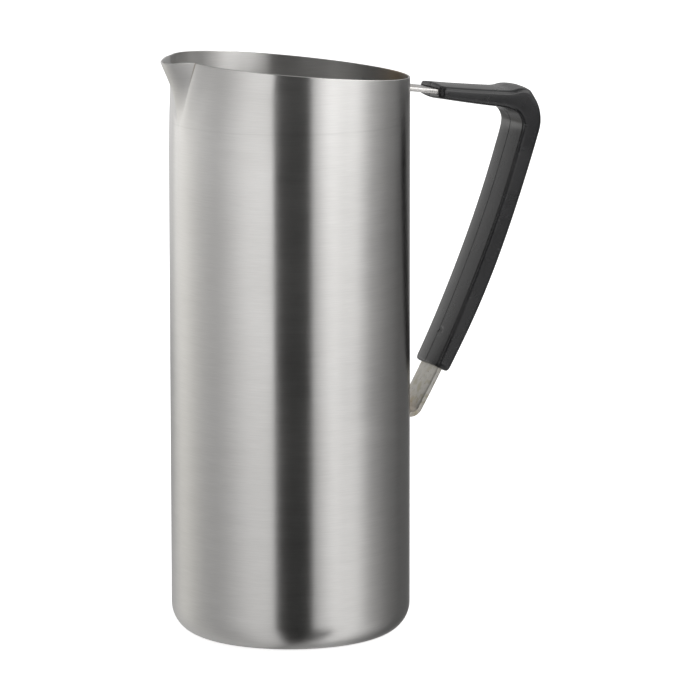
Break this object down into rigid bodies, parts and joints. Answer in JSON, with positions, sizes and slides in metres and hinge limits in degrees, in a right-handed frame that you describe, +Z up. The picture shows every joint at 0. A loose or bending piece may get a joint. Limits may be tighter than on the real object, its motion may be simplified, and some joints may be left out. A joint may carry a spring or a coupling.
{
  "type": "water pitcher",
  "caption": "Tall cylindrical steel water pitcher with a slanted rim, a pulled V spout and a welded strap handle in a black moulded grip.",
  "frame": {"origin": "centre of the flat base, on the surface that the pitcher stands on", "axes": "+Z up along the vessel's axis, +X towards the handle, -X towards the spout, Y across the handle"},
  "size_m": [0.1766, 0.105, 0.2556],
  "materials": {
    "brushed_steel": "fine brushing round the body, satin",
    "strap_steel": "satin flat bar with light heat stains near its ends",
    "weld_steel": "dull weld bead with a brown heat tint",
    "black_plastic": "satin moulded plastic with a fine grain"
  },
  "bodies": {
    "root": {"vessel": "brushed_steel", "handle_strap": "strap_steel", "upper_weld": "weld_steel", "lower_weld": "weld_steel", "grip_half_left": "black_plastic", "grip_half_right": "black_plastic"}
  },
  "joints": []
}
